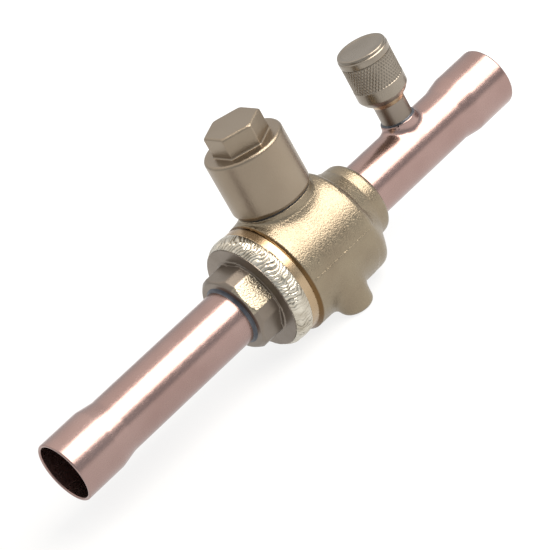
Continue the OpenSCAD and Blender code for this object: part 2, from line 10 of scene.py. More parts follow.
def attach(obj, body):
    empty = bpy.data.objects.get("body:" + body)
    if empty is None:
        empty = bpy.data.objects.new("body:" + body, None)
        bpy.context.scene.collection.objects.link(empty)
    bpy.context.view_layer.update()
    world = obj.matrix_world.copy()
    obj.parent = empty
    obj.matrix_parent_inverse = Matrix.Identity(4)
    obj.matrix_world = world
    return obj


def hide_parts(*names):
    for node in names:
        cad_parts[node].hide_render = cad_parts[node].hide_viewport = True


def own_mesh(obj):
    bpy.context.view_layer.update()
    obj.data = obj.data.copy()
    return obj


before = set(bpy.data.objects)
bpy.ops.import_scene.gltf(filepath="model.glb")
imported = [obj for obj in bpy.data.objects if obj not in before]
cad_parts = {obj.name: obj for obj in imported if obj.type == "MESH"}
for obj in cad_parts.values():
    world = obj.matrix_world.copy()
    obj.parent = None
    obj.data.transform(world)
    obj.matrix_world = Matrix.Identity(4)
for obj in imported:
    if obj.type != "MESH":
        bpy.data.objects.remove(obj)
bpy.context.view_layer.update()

# Studio: a pale floor with a painted glow in place of light from below, one large soft lamp over the front
# and a room that brightens up and back. The camera stands at the photograph's place.
AXIS_HEIGHT = 17.3        # flow axis above the lugs' feet
ROOM_LOW = "#a9adb1"
ROOM_HIGH = "#fffaf5"
ROOM_GLOW = 1.3
FLOOR_COLOUR = "#6f6f6e"
FLOOR_GLOW = 0.76, 0.90
LAMP_WAY, LAMP_DISTANCE = (0.4275, -0.4656, 0.775), 0.62
LAMP_SIDE, LAMP_POWER, LAMP_COLOUR = 0.58, 6.4, "#fff8ef"


def linear(hex_code):
    """An sRGB hex value as linear red, green, blue and alpha."""
    values = [int(hex_code[i:i + 2], 16) / 255 for i in (1, 3, 5)]
    return [v / 12.92 if v <= 0.04045 else ((v + 0.055) / 1.055) ** 2.4 for v in values] + [1.0]


def add(tree, kind, inputs=None, **settings):
    """Adds a node with its settings; each input takes a value, an output or a node for its first output."""
    node = tree.nodes.new(kind)
    for name, value in settings.items():
        setattr(node, name, value)
    for socket, value in (inputs or {}).items():
        if isinstance(value, bpy.types.Node):
            value = value.outputs[0]
        if isinstance(value, bpy.types.NodeSocket):
            tree.links.new(value, node.inputs[socket])
        else:
            node.inputs[socket].default_value = value
    return node


def new_material(name):
    """An empty node material and its tree."""
    material = bpy.data.materials.new(name)
    material.use_nodes = True
    material.node_tree.nodes.clear()
    return material, material.node_tree


scene = bpy.context.scene
scene.view_settings.view_transform = "Standard"

lens = bpy.data.cameras.new("camera")
lens.lens, lens.sensor_width = 173.04, 36.0
lens.clip_start, lens.clip_end = 0.01, 20.0
camera = bpy.data.objects.new("camera", lens)
turn = Matrix(((0.6601, 0.6177, -0.4275), (-0.602, 0.0946, -0.7929), (-0.4493, 0.7807, 0.4343)))
camera.matrix_world = Matrix.Translation((-0.2994, -0.5356, 0.3108)) @ turn.to_4x4()
scene.collection.objects.link(camera)
scene.camera = camera

bpy.ops.mesh.primitive_circle_add(vertices=96, radius=3.0, fill_type="NGON")
floor = bpy.context.object
floor.name = "floor"
# Matt grey sheet with a painted glow standing in for light from under it, painted brighter to the right and
# dimmer at the front;
# the painted glow gives the white and lifts the shadow, and its own grey keeps the shadow faint
floor_paint, tree = new_material("grey floor with painted glow")
spot = add(tree, "ShaderNodeSeparateXYZ", {0: add(tree, "ShaderNodeTexCoord").outputs["Object"]})
bright = add(tree, "ShaderNodeMapRange", {"Value": spot, "From Min": -0.06, "From Max": 0.07,
                                          "To Min": FLOOR_GLOW[0], "To Max": FLOOR_GLOW[1]})
fade = add(tree, "ShaderNodeMapRange", {"Value": spot.outputs[1], "From Min": -0.30, "From Max": -0.12,
                                        "To Min": 0.4})
bright = add(tree, "ShaderNodeMath", {0: bright, 1: fade}, operation="MULTIPLY")
shader = add(tree, "ShaderNodeBsdfPrincipled", {
    "Base Color": linear(FLOOR_COLOUR), "Roughness": 0.9, "Emission Color": linear("#ffffff"),
    "Emission Strength": bright})
add(tree, "ShaderNodeOutputMaterial", {"Surface": shader})
floor.data.materials.append(floor_paint)

lamp = bpy.data.lights.new("softbox", "AREA")
lamp.shape, lamp.size, lamp.energy, lamp.color = "SQUARE", LAMP_SIDE, LAMP_POWER, linear(LAMP_COLOUR)[:3]
softbox = bpy.data.objects.new("softbox", lamp)
back = np.array(LAMP_WAY) / np.linalg.norm(LAMP_WAY)
side = np.cross((1.0, 0.0, 0.0), back)
side /= np.linalg.norm(side)
along = np.cross(side, back)
softbox.matrix_world = Matrix.Translation(back * LAMP_DISTANCE) @ Matrix(
    [[along[i], side[i], back[i]] for i in range(3)]).to_4x4()
scene.collection.objects.link(softbox)

room = bpy.data.worlds.new("room")
room.use_nodes = True
room.node_tree.nodes.clear()
tree = room.node_tree
way = add(tree, "ShaderNodeTexCoord")
height = add(tree, "ShaderNodeVectorMath", {0: way.outputs["Generated"], 1: (0.0, 0.4, 0.92)},
             operation="DOT_PRODUCT")
lift = add(tree, "ShaderNodeMapRange", {"Value": height.outputs["Value"], "From Min": 0.0, "From Max": 1.0})
rise = add(tree, "ShaderNodeMath", {0: lift, 1: 2.0}, operation="POWER")
tone = add(tree, "ShaderNodeMix", {0: rise, 6: linear(ROOM_LOW), 7: linear(ROOM_HIGH)}, data_type="RGBA")
glow = add(tree, "ShaderNodeBackground", {"Color": tone.outputs[2], "Strength": ROOM_GLOW})
add(tree, "ShaderNodeOutputWorld", {"Surface": glow})
scene.world = room


# Housing: a hot forging in dezincification-resistant brass, shot-blasted all over,
# then turned at its left end for the weld and at its neck for cap and gland.
TUBE_R, BORE_R, CUP_R = 7.94, 6.94, 8.0
BARREL_R, BARREL_DROP, BAND_R, STEP_RUN = 16.7, 0.5, 16.1, 1.2
HOUSING_LEFT, BARREL_LEFT, BARREL_RIGHT, SHOULDER_END = -16.9, -12.3, 13.6, 22.51
CAVITY_R, POCKET_R, POCKET_FRONT, SEAT_BACK, TUBE_STOP = 11.4, 10.25, 7.61, 11.61, 14.51
NECK_R, NECK_SHOULDER, NECK_TOP, NECK_ROOT_R = 10.4, 16.9, 26.9, 8.06
RIM_R, RIM_TOP = 8.62, 29.0
LUG_R, LUG_Y = 4.7, 11.0
PARTING_HALF_WIDTH, PARTING_HEIGHT = 0.6, 0.18
HOUSING_CELL = 0.37


def soften(outline, radii, steps=5):
    """Rounds the corners of a closed outline, all by one radius or each by its own."""
    points = [np.array(p, float) for p in outline]
    if not hasattr(radii, "__len__"):
        radii = [radii] * len(points)
    softened = []
    for i, (corner, radius) in enumerate(zip(points, radii)):
        if not radius:
            softened.append(corner)
            continue
        before, after = points[i - 1] - corner, points[(i + 1) % len(points)] - corner
        before_length, after_length = np.linalg.norm(before), np.linalg.norm(after)
        u, v = before / before_length, after / after_length
        half = 0.5 * math.acos(max(-1.0, min(1.0, float(u @ v))))
        reach = min(radius / math.tan(half), 0.49 * before_length, 0.49 * after_length)
        r = reach * math.tan(half)
        centre = corner + (u + v) / np.linalg.norm(u + v) * r / math.sin(half)
        start, end = corner + u * reach - centre, corner + v * reach - centre
        a = math.atan2(start[1], start[0])
        sweep = (math.atan2(end[1], end[0]) - a + math.pi) % (2 * math.pi) - math.pi
        softened += [centre + r * np.array((math.cos(a + sweep * k / steps), math.sin(a + sweep * k / steps)))
                     for k in range(steps + 1)]
    return softened


def outline_distance(outline):
    """Distance from a closed outline, below zero inside, as a function of two coordinates."""
    corners = np.array(outline, float)

    def distance(u, v):
        nearest = np.full(u.shape, 1e9)
        inside = np.zeros(u.shape, bool)
        for (au, av), (bu, bv) in zip(corners, np.roll(corners, -1, axis=0)):
            eu, ev = bu - au, bv - av
            t = np.clip(((u - au) * eu + (v - av) * ev) / (eu * eu + ev * ev), 0, 1)
            nearest = np.minimum(nearest, (u - au - t * eu) ** 2 + (v - av - t * ev) ** 2)
            if ev:
                inside ^= ((av > v) != (bv > v)) & (u < eu * (v - av) / ev + au)
        return np.where(inside, -1, 1) * np.sqrt(nearest)
    return distance


def join(a, b, radius):
    """The union of two distances with a smooth fillet where they lie within radius of each other."""
    near = np.maximum(1 - np.abs(a - b) / radius, 0)
    return np.minimum(a, b) - near ** 3 * radius / 6


def cut(a, b, radius):
    """What is left of a when b is taken out, with the edge rounded."""
    return -join(-a, b, radius)


def skin(distance, low, high, cell):
    """Points, faces and normals of the surface where distance(x, y, z) is zero."""
    axes = [np.arange(a, b + c, c) for a, b, c in zip(low, high, cell)]
    grid = distance(*np.meshgrid(*axes, indexing="ij"))
    inside = grid < 0
    cells = [n - 1 for n in grid.shape]
    total, count = np.zeros(cells + [3]), np.zeros(cells)
    corner = [[slice(0, -1), slice(1, None)][k] for k in (0, 1)]
    for axis in range(3):
        others = [a for a in range(3) if a != axis]
        lower, upper = [slice(None)] * 3, [slice(None)] * 3
        lower[axis], upper[axis] = corner
        a, b = grid[tuple(lower)], grid[tuple(upper)]
        crosses = (a < 0) != (b < 0)
        share = np.where(crosses, a / np.where(crosses, a - b, 1), 0)
        for j in (0, 1):
            for k in (0, 1):
                window = [slice(None)] * 3
                window[others[0]], window[others[1]] = corner[j], corner[k]
                hit, along = crosses[tuple(window)], share[tuple(window)]
                count += hit
                total[..., axis] += along
                total[..., others[0]] += hit * j
                total[..., others[1]] += hit * k
    mixed = count > 0
    number = np.full(cells, -1)
    number[mixed] = np.arange(mixed.sum())
    place = np.argwhere(mixed) + total[mixed] / count[mixed][:, None]
    points = np.array([a[0] for a in axes]) + place * np.array(cell)
    faces = []
    for axis in range(3):
        others = [(axis + 1) % 3, (axis + 2) % 3]
        lower, upper = [slice(None)] * 3, [slice(None)] * 3
        lower[axis], upper[axis] = corner
        for o in others:
            lower[o] = upper[o] = slice(1, -1)
        a, b = inside[tuple(lower)], inside[tuple(upper)]
        at = np.argwhere(a != b)
        ahead = a[tuple(at.T)]
        for o in others:
            at[:, o] += 1
        ring = []
        for j, k in ((1, 1), (0, 1), (0, 0), (1, 0)):
            step = at.copy()
            step[:, others[0]] -= j
            step[:, others[1]] -= k
            ring.append(number[tuple(step.T)])
        quad = np.stack(ring, 1)
        quad[~ahead] = quad[~ahead][:, ::-1]
        faces.append(quad)

    def slope(p):
        step = 0.01
        parts = []
        for axis in range(3):
            shift = np.zeros(3)
            shift[axis] = step
            parts.append((distance(*(p + shift).T) - distance(*(p - shift).T)) / (2 * step))
        return np.stack(parts, 1)

    for _ in range(4):
        g = slope(points)
        move = distance(*points.T)[:, None] * g / np.maximum((g * g).sum(1), 0.2)[:, None]
        length = np.linalg.norm(move, axis=1)[:, None]
        points = points - move * np.minimum(1, 0.3 * min(cell) / np.maximum(length, 1e-9))
    g = slope(points)
    return points, np.concatenate(faces), g / np.maximum(np.linalg.norm(g, axis=1), 1e-9)[:, None]


def make_piece(name, points, faces, materials, normals=None, faceted=None):
    """An object in metres from points in millimetres about the ball's centre."""
    place = (np.array(points) + (0, 0, AXIS_HEIGHT)) / 1000
    mesh = bpy.data.meshes.new(name)
    mesh.from_pydata(place.tolist(), [], faces.tolist() if isinstance(faces, np.ndarray) else faces)
    mesh.polygons.foreach_set("use_smooth", [True] * len(mesh.polygons))
    if faceted is not None:
        mesh.set_sharp_from_angle(angle=math.radians(faceted))
    if normals is not None:
        mesh.normals_split_custom_set_from_vertices(normals.tolist())
    for material in materials:
        mesh.materials.append(material)
    piece = bpy.data.objects.new(name, mesh)
    scene.collection.objects.link(piece)
    return piece


def metal(name, light, deep, rough, spread, grain, relief, tone=6.0, stretch=(1, 1, 1), hollow=None,
          shade_band=None):
    """A bare metal. Its colour drifts from deep to light over tone mm; grain mm wide stands relief mm high.

    The grain is drawn out along the axes where stretch is below one. The mesh's attribute of that
    name is one in its hollows, which take the hollow colour. A shade_band is painted shade laid between two
    stations.
    """
    material, tree = new_material(name)
    place = add(tree, "ShaderNodeTexCoord").outputs["Object"]
    drift = add(tree, "ShaderNodeTexNoise", {"Vector": place, "Scale": 1000 / tone, "Detail": 2.0})
    ramp = add(tree, "ShaderNodeMapRange", {"Value": drift, "From Min": 0.3, "From Max": 0.7})
    hue = add(tree, "ShaderNodeMix", {0: ramp, 6: linear(deep), 7: linear(light)}, data_type="RGBA")
    hue = hue.outputs[2]
    if shade_band:
        colour, start, end = shade_band
        station = add(tree, "ShaderNodeSeparateXYZ", {0: place})
        away = add(tree, "ShaderNodeMath", {0: station, 1: (start + end) / 2000}, operation="SUBTRACT")
        away = add(tree, "ShaderNodeMath", {0: away}, operation="ABSOLUTE")
        share = add(tree, "ShaderNodeMapRange", {
            "Value": away, "From Min": (end - start) / 3000, "From Max": (end - start) / 1600,
            "To Min": 1.0, "To Max": 0.0})
        hue = add(tree, "ShaderNodeMix", {0: share, 6: hue, 7: linear(colour)}, data_type="RGBA").outputs[2]
    if hollow:
        depth = add(tree, "ShaderNodeAttribute", attribute_name="hollow").outputs["Fac"]
        hue = add(tree, "ShaderNodeMix", {0: depth, 6: hue, 7: linear(hollow)}, data_type="RGBA").outputs[2]
    place = add(tree, "ShaderNodeMapping", {0: place, "Scale": stretch})
    pits = add(tree, "ShaderNodeTexNoise", {"Vector": place, "Scale": 1000 / grain, "Detail": 1.5})
    polish = add(tree, "ShaderNodeMapRange", {"Value": pits, "From Min": 0.3, "From Max": 0.7,
                                              "To Min": rough - spread, "To Max": rough + spread})
    bump = add(tree, "ShaderNodeBump", {"Height": pits, "Distance": relief / 1000, "Strength": 1.0})
    shader = add(tree, "ShaderNodeBsdfPrincipled", {
        "Base Color": hue, "Metallic": 1.0, "Roughness": polish, "Normal": bump})
    add(tree, "ShaderNodeOutputMaterial", {"Surface": shader})
    return material


# Shot-blasted forging skin: fine dents of 0.4 mm that sparkle where the light rolls off
# Painted shade: a dark brown band laid along the step between the turned band and the barrel
STEP_SHADE = ("#6d5436", BARREL_LEFT + 0.1, BARREL_LEFT + STEP_RUN)
blasted_brass = metal("shot-blasted forged brass", "#948874", "#8b7e6b", 0.36, 0.09, 0.42, 0.10, tone=8.0,
                      shade_band=STEP_SHADE)
# Turned faces of the forging: closer and more golden than the skin, with the painted shade band along the
# step
machined_brass = metal("machined brass", "#b7a184", "#ac9577", 0.28, 0.05, 0.30, 0.012, shade_band=STEP_SHADE)

turned_line = outline_distance(
    [(HOUSING_LEFT, 0), (HOUSING_LEFT, 12.6), (HOUSING_LEFT + 2.3, BAND_R), (BARREL_LEFT, BAND_R),
     (BARREL_LEFT + STEP_RUN, BAND_R - BARREL_DROP)]
    + soften([(BARREL_LEFT + 2 * STEP_RUN, BAND_R - BARREL_DROP), (BARREL_RIGHT, 13.15), (16.3, 12.0),
              (18.3, 11.2), (SHOULDER_END, 10.8), (SHOULDER_END, 7.0)], [0, 0, 1.0, 1.5, 1.5, 0])
    + [(SHOULDER_END, 0)])
barrel_line = outline_distance(
    [(BARREL_LEFT, 0), (BARREL_LEFT, BAND_R - BARREL_DROP), (BARREL_LEFT + STEP_RUN, BARREL_R)]
    + soften([(0, BARREL_R), (BARREL_RIGHT, BARREL_R), (BARREL_RIGHT, 0)], [0, 3.2, 0]))
neck_line = outline_distance(soften(
    [(0, 4), (NECK_R, 4), (NECK_R, NECK_SHOULDER), (NECK_ROOT_R, NECK_SHOULDER), (NECK_ROOT_R, NECK_TOP),
     (0, NECK_TOP)], [0, 0, 0.2, 0.2, 0.3, 0]))
rim_line = outline_distance(
    [(RIM_R - 1.4, NECK_TOP - 1), (RIM_R, NECK_TOP - 1), (RIM_R, RIM_TOP), (RIM_R - 1.4, RIM_TOP)])
lug_line = outline_distance(soften(
    [(0, -AXIS_HEIGHT), (LUG_R, -AXIS_HEIGHT), (LUG_R, -4), (0, -4)], [0, 1.6, 0, 0]))
flow_line = outline_distance(
    [(-18, 0), (-18, CAVITY_R), (POCKET_FRONT, CAVITY_R), (POCKET_FRONT, POCKET_R), (SEAT_BACK, POCKET_R),
     (SEAT_BACK, BORE_R), (TUBE_STOP, BORE_R), (TUBE_STOP, CUP_R), (26, CUP_R), (26, 0)])
gland_line = outline_distance(
    [(0, 0), (6.1, 0), (6.1, 14.65), (4.55, 14.65), (4.55, 20.2), (6.6, 20.2), (6.6, 28), (6.6, 30), (0, 30)])
hole_line = outline_distance([(0, -19), (2.1, -19), (2.1, -9.3), (0, -8.04)])


def housing_distance(x, y, z):
    r = np.hypot(y, z)
    forged_r = np.hypot(y, z + BARREL_DROP)
    upright = np.hypot(x, y)
    # Swell of the forging under its right end
    swell = np.sqrt(x * x + y * y + (z + 4) ** 2) - 20.3
    swell = -join(-swell, -(forged_r - BARREL_R + 0.1), 1.8)
    barrel = join(barrel_line(x, forged_r), np.maximum(swell, 2 - x), 1.2 * np.clip((x - 11.2) / 2, 0.02, 1))
    lower = np.clip(1 - z / 3, 0, 1)
    body = join(barrel, turned_line(x, r), 0.05 + 2.2 * lower * np.clip((x - 8) / 4, 0, 1))
    body = join(body, lug_line(np.hypot(x, np.abs(y) - LUG_Y), z), 3.6)
    # Parting line of the forging, where the two dies met
    line = np.clip(1 - np.abs(z) / PARTING_HALF_WIDTH, 0, 1)
    ends = np.clip((x + 10.9) / 0.6, 0, 1) * np.clip((11.4 - x) / 0.6, 0, 1)
    body = body - PARTING_HEIGHT * line * line * (3 - 2 * line) * ends
    fillet = 4.6 * np.clip((NECK_SHOULDER - z) / 2.6, 0.02, 1)
    body = np.where(z > 3, join(body, neck_line(upright, z), fillet), body)
    # Rim that stops the pin, with a quarter cut out of it
    body = np.minimum(body, np.maximum(rim_line(upright, z), np.minimum(x + 1.1, y + 1.1)))
    body = cut(body, flow_line(x, r), 0.2)
    body = cut(body, gland_line(upright, z), 0.2)
    return np.maximum(cut(body, hole_line(np.hypot(x, np.abs(y) - LUG_Y), z), 0.2), -z - AXIS_HEIGHT)


points, faces, normals = skin(
    housing_distance, (-17.7, -17.8, -17.945), (23.3, 17.8, 29.8), [HOUSING_CELL] * 3)
housing = make_piece("forged_housing", points, faces, [blasted_brass, machined_brass], normals)
middle = points[faces].mean(1)
turned_part = (middle[:, 0] < BARREL_LEFT + 0.9) | (middle[:, 2] > NECK_SHOULDER - 0.1)
housing.data.polygons.foreach_set("material_index", turned_part.astype(int))
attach(housing, "housing")
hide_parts("valve_body")

# End connector: turned from brass bar. Its disc is welded to the housing, its
# collar is a hexagon with cut corners that a wrench holds while the weld is made.
DISC_R, DISC_FACE, COLLAR_LEFT = 15.2, -19.9, -27.1
COLLAR_AF, COLLAR_TURN, CORNER_CUT_SHARE = 21.0, 28.0, 0.16

# Bar-turned brass, dulled by the heat of the weld
turned_brass = metal("turned brass", "#8c8278", "#7e7469", 0.36, 0.06, 0.30, 0.02, tone=9.0)
# Raw face of the bar, pitted, and painted lighter as a highlight
raw_lit_brass = metal("raw brass bar face painted lighter", "#a89e8c", "#9c917e", 0.30, 0.08, 0.50, 0.13)

# Disc, with a thin raised ring turned on its face round the collar
disc_line = outline_distance(soften(
    [(-20.0, 0), (-20.0, 10.3), (-20.12, 10.9), (-20.12, 11.5), (DISC_FACE, 11.8), (DISC_FACE, DISC_R),
     (-19.6, DISC_R), (-16.9, 12.6), (-16.9, 11.35), (-7.61, 11.35), (-7.61, 0)],
    [0, 0.1, 0.1, 0.1, 0.1, 0.1, 0, 0, 0, 0.2, 0]))
collar_core = outline_distance([(COLLAR_LEFT + 2, 0), (COLLAR_LEFT + 2, 10.08), (-19.8, 10.08), (-19.8, 0)])
way_line = outline_distance(
    [(-30, 0), (-30, CUP_R), (-19.1, CUP_R), (-19.1, BORE_R), (-SEAT_BACK, BORE_R), (-SEAT_BACK, POCKET_R),
     (-5, POCKET_R), (-5, 0)])


def connector_distance(x, y, z):
    r = np.hypot(y, z)
    disc = disc_line(x, r)
    collar = np.maximum(x - DISC_FACE - 0.1, COLLAR_LEFT - x)
    collar = -join(-collar, -(r - (COLLAR_AF / 2 - 0.3) - (x - COLLAR_LEFT)) / math.sqrt(2), 0.35)
    corner_r = COLLAR_AF / math.sqrt(3) - COLLAR_AF / math.sqrt(3) * CORNER_CUT_SHARE / 2
    for k in range(6):
        for turn_share, reach in ((0.0, COLLAR_AF / 2), (0.5, corner_r)):
            a = math.radians(COLLAR_TURN + 60 * (k + turn_share))
            collar = -join(-collar, -(y * math.cos(a) + z * math.sin(a) - reach), 0.3)
    body = np.minimum(join(disc, collar_core(x, r), 0.2), collar)
    return cut(body, way_line(x, r), 0.12)


points, faces, normals = skin(connector_distance, (-27.7, -15.7, -15.7), (-7.0, 15.7, 15.7), [0.33] * 3)
connector = make_piece("turned_connector", points, faces, [turned_brass, raw_lit_brass], normals)
middle, facing = points[faces].mean(1), normals[faces].mean(1)
# The one flat that was never machined, facing the front and up; its lighter colour is also a painted
# highlight
raw_lit_angle = math.radians(COLLAR_TURN + 120)
raw_lit_way = np.array((0.0, math.cos(raw_lit_angle), math.sin(raw_lit_angle)))
sideways = middle @ np.array((0.0, -raw_lit_way[2], raw_lit_way[1]))
raw_lit_flat = (facing @ raw_lit_way > 0.5) & (np.abs(sideways) < 4.2) & (np.abs(middle[:, 0] - COLLAR_LEFT - 3.6) < 3.5)
connector.data.polygons.foreach_set("material_index", raw_lit_flat.astype(int))
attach(connector, "housing")
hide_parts("end_connector")


# Weld: one bead of bronze filler laid round the joint. Each touch of the torch left
# a crescent ripple, 1.2 mm after the last.
BEAD_R0, BEAD_X0, BEAD_R1, BEAD_X1, BEAD_RISE = DISC_R, -19.6, BAND_R, HOUSING_LEFT + 2.3, 0.5
BEAD_STEPS = 1440
BEAD_MIDDLE, BEAD_HALF_WIDTH = -17.1, 2.6
RIPPLES, RIPPLE_HEIGHT, RIPPLE_SWEEP, RIPPLE_WANDER = 84, 0.30, 1.1, 4.0


def turned(outline, steps, along="x", centre=0.0):
    """Points and faces of a closed outline of (radius, station) turned about an axis."""
    outline = np.array(outline, float)
    angle = np.arange(steps)[:, None] * 2 * math.pi / steps
    radius, station = outline[None, :, 0], outline[None, :, 1] + 0 * angle
    u, v = radius * np.cos(angle), radius * np.sin(angle)
    points = np.stack([station, u, v] if along == "x" else [u + centre, v, station], 2).reshape(-1, 3)
    n = len(outline)
    i, j = np.meshgrid(np.arange(steps), np.arange(n), indexing="ij")
    a, b = i * n + j, i * n + (j + 1) % n
    c, d = ((i + 1) % steps) * n + (j + 1) % n, ((i + 1) % steps) * n + j
    faces = np.stack([a, b, c, d], 2).reshape(-1, 4)
    on_axis = outline[:, 0] < 1e-9
    solid = ~(on_axis & np.roll(on_axis, -1))
    return points, faces[np.tile(solid, steps)]


def close_up(piece, faceted=35):
    """Merges poles, turns faces outward and keeps edges over that many degrees sharp."""
    work = bmesh.new()
    work.from_mesh(piece.data)
    bmesh.ops.remove_doubles(work, verts=work.verts, dist=1e-7)
    bmesh.ops.recalc_face_normals(work, faces=work.faces)
    work.to_mesh(piece.data)
    work.free()
    piece.data.set_sharp_from_angle(angle=math.radians(faceted))
    return piece


def grown(piece, tree, values):
    """Runs a node tree on a piece and keeps its result as the piece's plain mesh."""
    modifier = piece.modifiers.new(tree.name, "NODES")
    modifier.node_group = tree
    named = {item.name: item.identifier for item in tree.interface.items_tree if item.item_type == "SOCKET"}
    for name, value in values.items():
        modifier[named[name]] = value
    result = bpy.data.meshes.new_from_object(piece.evaluated_get(bpy.context.evaluated_depsgraph_get()))
    piece.modifiers.clear()
    piece.data = result
    return piece


def node_tree(name, sizes):
    """A geometry tree with a mesh in, a mesh out and a named input for each size."""
    tree = bpy.data.node_groups.new(name, "GeometryNodeTree")
    tree.interface.new_socket("Mesh", in_out="INPUT", socket_type="NodeSocketGeometry")
    for size, kind in sizes.items():
        tree.interface.new_socket(size, in_out="INPUT", socket_type="NodeSocket" + kind)
    tree.interface.new_socket("Mesh", in_out="OUTPUT", socket_type="NodeSocketGeometry")
    return tree, tree.nodes.new("NodeGroupInput").outputs


def finish_tree(tree, mesh, material):
    """Ends a geometry tree in real geometry of one material."""
    real = add(tree, "GeometryNodeRealizeInstances", {0: mesh})
    painted = add(tree, "GeometryNodeSetMaterial", {"Geometry": real, "Material": material})
    add(tree, "NodeGroupOutput", {0: painted})


# Bronze weld metal: bright silver-gold crests, brown oxide in the hollows
weld_metal = metal("bronze weld metal", "#d3cdbf", "#b0a898", 0.27, 0.08, 0.40, 0.03, tone=2.5,
                   hollow="#5a5144")

chord = math.hypot(BEAD_R1 - BEAD_R0, BEAD_X1 - BEAD_X0)
crown_r = (chord * chord / 4 + BEAD_RISE ** 2) / (2 * BEAD_RISE)
lean = math.atan2(BEAD_X1 - BEAD_X0, BEAD_R1 - BEAD_R0)
half_arc = math.asin(chord / 2 / crown_r)
crown = ((BEAD_R0 + BEAD_R1) / 2 - (crown_r - BEAD_RISE) * math.sin(lean),
         (BEAD_X0 + BEAD_X1) / 2 + (crown_r - BEAD_RISE) * math.cos(lean))
arc = [lean - math.pi / 2 - half_arc + 2 * half_arc * k / 22 for k in range(23)]
bead_outline = [(12.6, HOUSING_LEFT)] + [
    (crown[0] + crown_r * math.cos(a), crown[1] + crown_r * math.sin(a)) for a in arc]
bead = close_up(make_piece("weld_ripples", *turned(bead_outline, BEAD_STEPS), [weld_metal]), 60)

tree, size = node_tree("weld ripples", {
    "Axis height": "Float", "Middle": "Float", "Width": "Float", "Ripples": "Float", "Height": "Float",
    "Sweep": "Float", "Wander": "Float"})
place = add(tree, "GeometryNodeInputPosition")
xyz = add(tree, "ShaderNodeSeparateXYZ", {0: place}).outputs
# Across the bead, from -1 at the disc to 1 at the band
across = add(tree, "ShaderNodeMath", {0: xyz[0], 1: size["Middle"]}, operation="SUBTRACT")
across = add(tree, "ShaderNodeMath", {0: across, 1: size["Width"]}, operation="DIVIDE")
square = add(tree, "ShaderNodeMath", {0: across, 1: across}, operation="MULTIPLY")
# Along the bead, counted in ripples; each sweeps back as a crescent and wanders a little
up = add(tree, "ShaderNodeMath", {0: xyz[2], 1: size["Axis height"]}, operation="SUBTRACT")
angle = add(tree, "ShaderNodeMath", {0: up, 1: xyz[1]}, operation="ARCTAN2")
whole = add(tree, "ShaderNodeMath", {0: size["Ripples"], 1: 2 * math.pi}, operation="DIVIDE")
along = add(tree, "ShaderNodeMath", {0: angle, 1: whole}, operation="MULTIPLY")
crescent = add(tree, "ShaderNodeMath", {0: square, 1: size["Sweep"], 2: along}, operation="MULTIPLY_ADD")
blur = add(tree, "ShaderNodeTexNoise", {"Vector": place, "Scale": 260.0, "Detail": 2.5})
phase = add(tree, "ShaderNodeMath", {0: blur, 1: size["Wander"], 2: crescent}, operation="MULTIPLY_ADD")
phase = add(tree, "ShaderNodeMath", {0: phase, 1: math.pi}, operation="MULTIPLY")
wave = add(tree, "ShaderNodeMath", {0: phase}, operation="SINE")
wave = add(tree, "ShaderNodeMath", {0: wave}, operation="ABSOLUTE")
strength = add(tree, "ShaderNodeTexNoise", {"Vector": place, "Scale": 200.0, "Detail": 0.0})
strength = add(tree, "ShaderNodeMapRange", {"Value": strength, "From Min": 0.35, "From Max": 0.65,
                                            "To Min": 0.3})
edge = add(tree, "ShaderNodeMath", {0: square, 1: 3.0}, operation="POWER")
edge = add(tree, "ShaderNodeMath", {0: 1.0, 1: edge}, operation="SUBTRACT")
edge = add(tree, "ShaderNodeClamp", {0: edge})
lift = add(tree, "ShaderNodeMath", {0: wave, 1: edge}, operation="MULTIPLY")
lift = add(tree, "ShaderNodeMath", {0: lift, 1: strength}, operation="MULTIPLY")
lift = add(tree, "ShaderNodeMath", {0: lift, 1: size["Height"]}, operation="MULTIPLY")
facing = add(tree, "GeometryNodeInputNormal")
push = add(tree, "ShaderNodeVectorMath", {0: facing, "Scale": lift}, operation="SCALE")
moved = add(tree, "GeometryNodeSetPosition", {"Geometry": size["Mesh"], "Offset": push})
hollow = add(tree, "ShaderNodeMapRange", {"Value": wave, "From Min": 0.1, "From Max": 0.5,
                                          "To Min": 0.8, "To Max": 0.0})
hollow = add(tree, "ShaderNodeMath", {0: hollow, 1: strength}, operation="MULTIPLY")
kept = add(tree, "GeometryNodeStoreNamedAttribute", {"Geometry": moved, "Name": "hollow", "Value": hollow})
finish_tree(tree, kept, weld_metal)
grown(bead, tree, {"Axis height": AXIS_HEIGHT / 1000, "Middle": BEAD_MIDDLE / 1000,
                   "Width": BEAD_HALF_WIDTH / 1000, "Ripples": float(RIPPLES),
                   "Height": RIPPLE_HEIGHT / 1000, "Sweep": RIPPLE_SWEEP,
                   "Wander": RIPPLE_WANDER})
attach(bead, "housing")
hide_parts("weld_bead")


# Tubes: drawn copper, swaged to a socket at the free end. The right one has a
# collar pulled out of its wall for the gauge port.
SOCKET_R, SOCKET_OR, SOCKET_DEPTH, SWAGE = 8.0, 8.87, 12.5, 5.0
LEFT_END, LEFT_STOP, RIGHT_END = 88.5, 19.1, 75.9
PORT_X, TEE_R, TEE_OR, TEE_TOP = 44.5, 4.46, 5.06, 9.54

# Drawn copper: satin, with faint marks of the die along it and a slow drift from pale to red
drawn_copper = metal("drawn copper", "#a68d87", "#9b817b", 0.25, 0.03, 0.45, 0.008, tone=14.0,
                     stretch=(0.3, 1, 1))


def tube_outline(stop, reach):
    corners = [(BORE_R, stop), (TUBE_R, stop), (TUBE_R, reach - SOCKET_DEPTH - SWAGE),
               (SOCKET_OR, reach - SOCKET_DEPTH), (SOCKET_OR, reach), (SOCKET_R, reach),
               (SOCKET_R, reach - SOCKET_DEPTH), (BORE_R, reach - SOCKET_DEPTH - SWAGE)]
    return corners, [0.1, 0.1, 7.0, 5.0, 0.42, 0.42, 4.0, 4.0]


